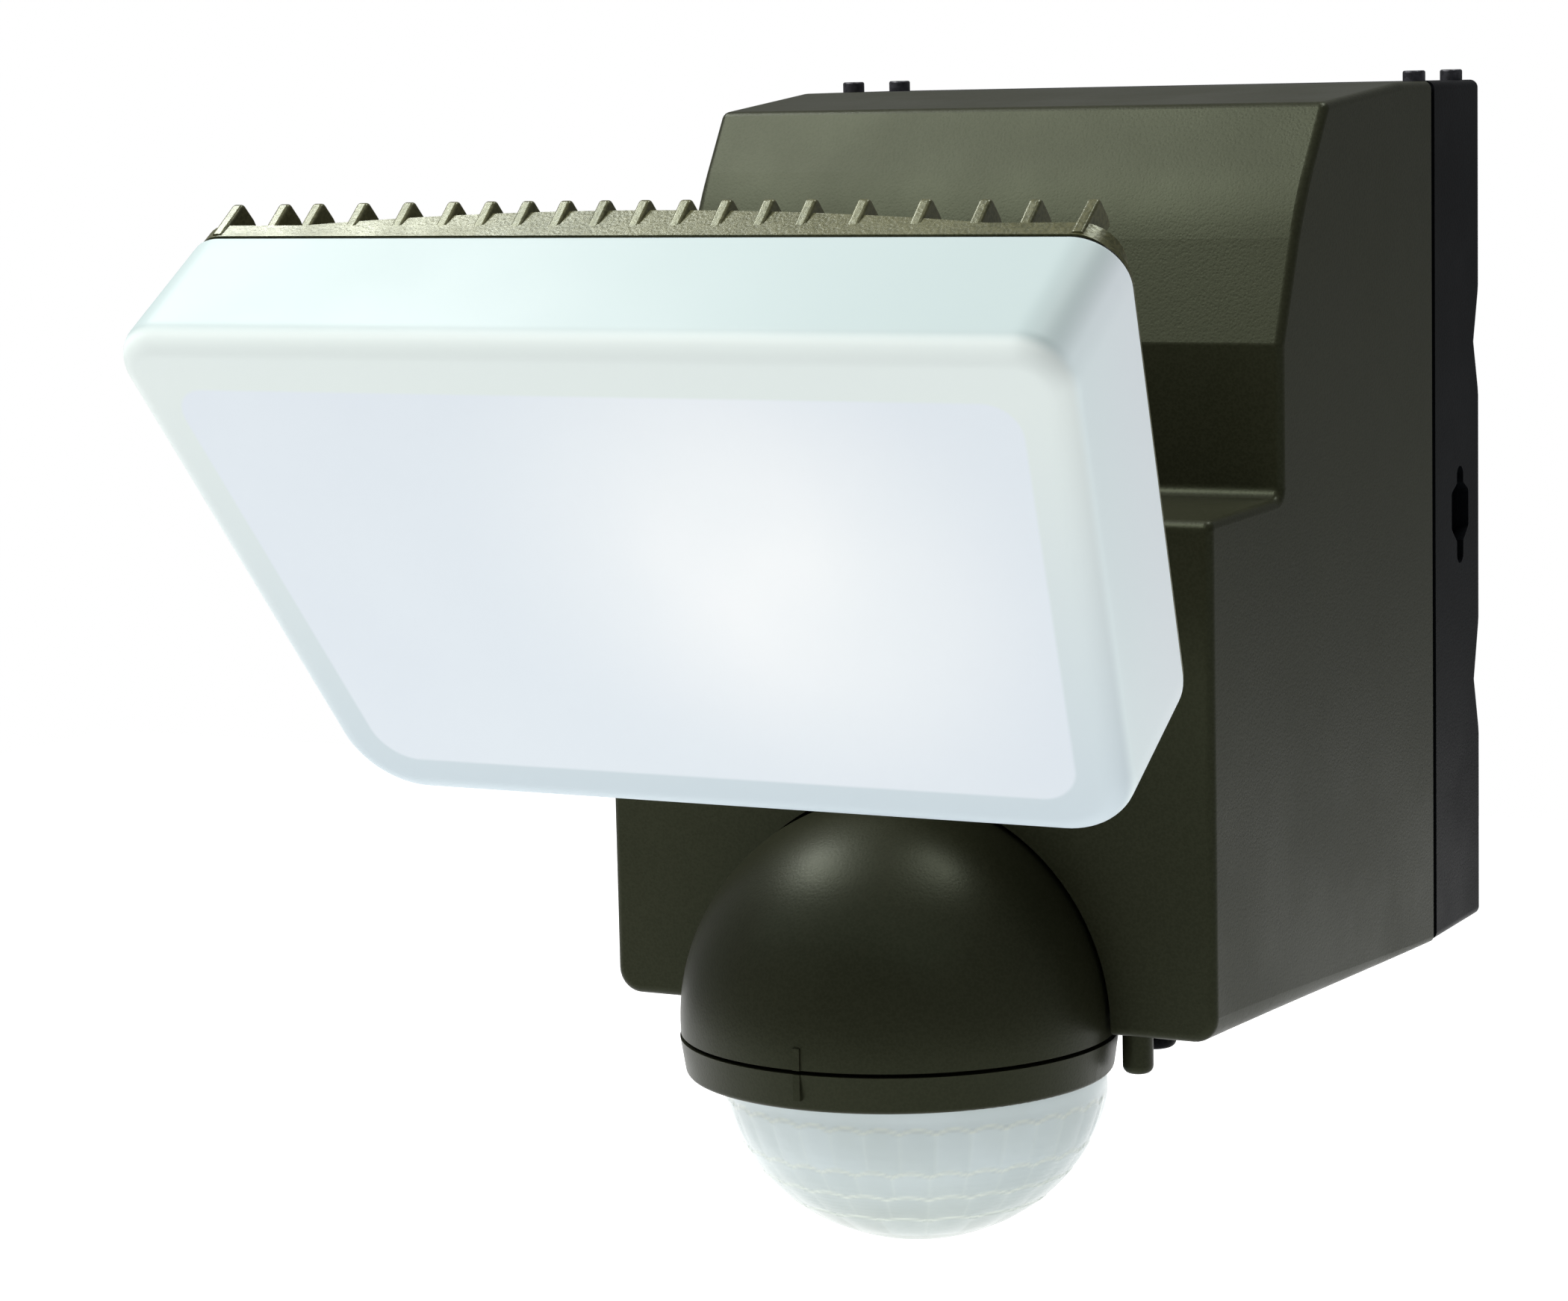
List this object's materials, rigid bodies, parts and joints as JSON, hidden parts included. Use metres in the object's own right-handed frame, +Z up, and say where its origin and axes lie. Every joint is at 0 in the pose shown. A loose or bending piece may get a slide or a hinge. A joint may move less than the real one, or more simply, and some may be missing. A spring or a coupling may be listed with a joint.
{
  "type": "motion sensor security light",
  "caption": "Wall security light with a wide tilting lamp head on an arm, a ball motion sensor under the housing and a battery body.",
  "frame": {"origin": "centre of the wall bracket's back face, in the plane of the wall", "axes": "+Y into the wall, the lamp looks along -Y, +X to the right seen from the front, +Z up"},
  "size_m": [0.1674, 0.238, 0.2038],
  "materials": {
    "bronze_plastic": "satin, dark bronze, fine grain",
    "black_plastic": "satin blue-black",
    "bronze_arm": "powder coated, dark bronze",
    "heat_sink_metal": "die cast, bronze coated",
    "opal_lens": "opal white, glossy",
    "sensor_lens": "milky, faceted inside",
    "seal_rubber": "matte",
    "zinc_steel": "zinc plated",
    "black_steel": "black oxide",
    "cell_sleeve": "plain printed sleeve",
    "circuit_board": "solder mask",
    "white_board": "white solder mask on aluminium",
    "component_black": "moulded",
    "component_can": "sleeved can",
    "white_tray": "white",
    "led_yellow": "phosphor over a white case"
  },
  "bodies": {
    "body": {"housing": "bronze_plastic", "back_box": "black_plastic", "seam_gasket": "seal_rubber", "wall_bracket": "zinc_steel", "top_studs": "black_steel", "housing_screws": "zinc_steel", "lock_screws": "zinc_steel", "battery_tray": "black_plastic", "battery_cells": "cell_sleeve", "contact_plates": "zinc_steel", "contact_springs": "zinc_steel", "tray_screws": "zinc_steel", "control_board": "circuit_board", "board_screws": "zinc_steel", "capacitors": "component_can", "power_coil": "component_black", "controller_chip": "component_black", "lead_sockets": "black_plastic", "dial_boards": "circuit_board", "dial_controls": "black_plastic", "dial_board_screws": "zinc_steel", "arm_base_gasket": "seal_rubber", "arm_base": "bronze_plastic", "arm_base_screws": "zinc_steel", "pan_pins": "black_steel"},
    "arm": {"arm": "bronze_arm"},
    "head": {"head_lens": "opal_lens", "lens_gasket": "seal_rubber", "heat_sink": "heat_sink_metal", "led_board": "white_board", "leds": "led_yellow", "led_board_screws": "zinc_steel", "reflector": "white_tray", "lens_screws": "zinc_steel", "tilt_pins": "black_steel"},
    "sensor_clamp": {"sensor_stud": "black_steel", "sensor_washer": "zinc_steel", "sensor_spring": "zinc_steel", "sensor_nut": "black_steel"},
    "sensor": {"hood": "bronze_plastic", "sensor_ring": "bronze_plastic", "sensor_lens": "sensor_lens", "sensor_holder": "black_plastic", "sensor_board": "circuit_board", "motion_detector": "zinc_steel", "sensor_screws": "zinc_steel"},
    "time_knob": {"time_dial": "black_plastic"},
    "range_knob": {"range_dial": "black_plastic"}
  },
  "joints": [
    {"name": "head_pan", "type": "hinge", "parent": "body", "child": "arm", "pos_m": [0, -0.112, 0.024], "axis": [0, 0, 1], "range_deg": [-25, 25]},
    {"name": "head_tilt", "type": "hinge", "parent": "arm", "child": "head", "pos_m": [0, -0.171, 0.024], "axis": [1, 0, 0], "range_deg": [-65, 15]},
    {"name": "sensor_pan", "type": "hinge", "parent": "body", "child": "sensor_clamp", "pos_m": [0, -0.128, -0.0795], "axis": [0, 0, 1], "range_deg": [-50, 50]},
    {"name": "sensor_tilt", "type": "hinge", "parent": "sensor_clamp", "child": "sensor", "pos_m": [0, -0.128, -0.0795], "axis": [-1, 0, 0], "range_deg": [-8, 12]},
    {"name": "time_dial_turn", "type": "hinge", "parent": "body", "child": "time_knob", "pos_m": [0.0395, -0.107, -0.084], "axis": [0, 0, 1], "range_deg": [-135, 135]},
    {"name": "range_dial_turn", "type": "hinge", "parent": "body", "child": "range_knob", "pos_m": [-0.0395, -0.107, -0.084], "axis": [0, 0, 1], "range_deg": [-135, 135]}
  ]
}
